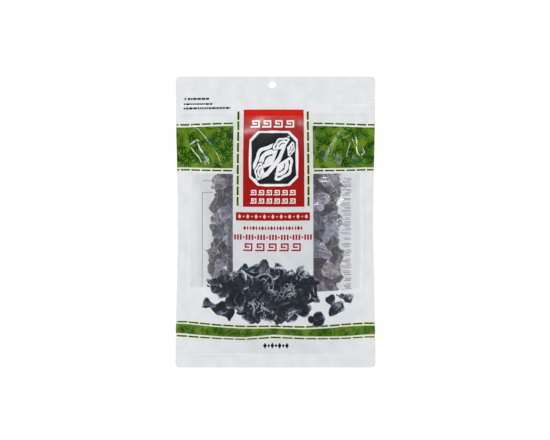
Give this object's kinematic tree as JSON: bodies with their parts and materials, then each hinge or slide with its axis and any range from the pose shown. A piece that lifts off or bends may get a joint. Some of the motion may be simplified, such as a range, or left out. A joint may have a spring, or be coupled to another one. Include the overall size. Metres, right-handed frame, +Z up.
{
  "type": "pouch of dried wood ear mushrooms",
  "caption": "Flat resealable film pouch, sealed and filled with dried wood ear mushrooms seen through clear windows, lying on its back.",
  "frame": {"origin": "on the surface that the pouch lies on, under the middle of its outline", "axes": "+X to the right across the front, +Y to the top edge with the hang hole, +Z up, out of the printed front"},
  "size_m": [0.22, 0.32, 0.044],
  "materials": {
    "front_film": "clear laminate, white ink behind it except at the windows",
    "back_film": "white laminate",
    "zip": "clear polyethylene",
    "window_ears": "dry, wrinkled, black with a greyer underside",
    "packed_ears": "dry, wrinkled, black"
  },
  "bodies": {
    "root": {"back_film": "back_film", "front_film": "front_film", "packed_ears": "packed_ears", "window_ear_left_01": "window_ears", "window_ear_left_02": "window_ears", "window_ear_left_03": "window_ears", "window_ear_left_04": "window_ears", "window_ear_left_05": "window_ears", "window_ear_left_06": "window_ears", "window_ear_left_07": "window_ears", "window_ear_left_08": "window_ears", "window_ear_left_09": "window_ears", "window_ear_left_10": "window_ears", "window_ear_left_11": "window_ears", "window_ear_left_12": "window_ears", "window_ear_left_13": "window_ears", "window_ear_left_14": "window_ears", "window_ear_left_15": "window_ears", "window_ear_right_01": "window_ears", "window_ear_right_02": "window_ears", "window_ear_right_03": "window_ears", "window_ear_right_04": "window_ears", "window_ear_right_05": "window_ears", "window_ear_right_06": "window_ears", "window_ear_right_07": "window_ears", "window_ear_right_08": "window_ears", "window_ear_right_09": "window_ears", "window_ear_right_10": "window_ears", "window_ear_right_11": "window_ears", "window_ear_right_12": "window_ears", "window_ear_right_13": "window_ears", "window_ear_right_14": "window_ears", "window_ear_right_15": "window_ears", "zip_jaw_strip": "zip", "zip_rib_strip": "zip"}
  },
  "joints": []
}
